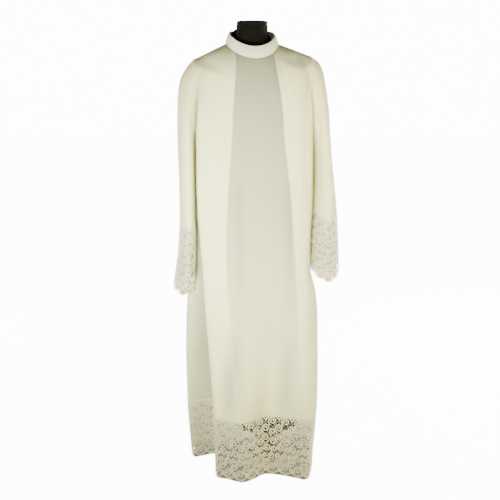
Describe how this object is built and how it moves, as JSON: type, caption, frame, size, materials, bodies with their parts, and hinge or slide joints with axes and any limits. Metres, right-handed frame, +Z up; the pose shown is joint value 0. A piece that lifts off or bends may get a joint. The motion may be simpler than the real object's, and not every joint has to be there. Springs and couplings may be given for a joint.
{
  "type": "alb robe on dress form",
  "caption": "Floor-length ivory liturgical robe with pressed front pleats, a band collar and scroll lace at hem and cuffs, worn by a black limbless dress form.",
  "frame": {"origin": "on the floor under the wooden base, straight below the neck's axis", "axes": "+Z up along the neck's axis, -Y the way the robe faces, +X to the right of someone who looks at its front"},
  "size_m": [0.5676, 0.4083, 1.521],
  "materials": {
    "ivory_cloth": "smooth matt woven polyester and wool blend, ivory",
    "cream_lace": "guipure lace of raised cream cords in scrolls",
    "black_jersey": "tight black knitted cover",
    "brown_wood": "red-brown varnished turned wood"
  },
  "bodies": {
    "root": {"front": "ivory_cloth", "back": "ivory_cloth", "collar": "ivory_cloth", "sleeve_left": "ivory_cloth", "sleeve_right": "ivory_cloth", "cuff_lace_left_front": "cream_lace", "cuff_lace_left_back": "cream_lace", "cuff_lace_right_front": "cream_lace", "cuff_lace_right_back": "cream_lace", "hem_lace_front": "cream_lace", "hem_lace_back": "cream_lace", "form_body": "black_jersey", "base": "brown_wood"}
  },
  "joints": []
}
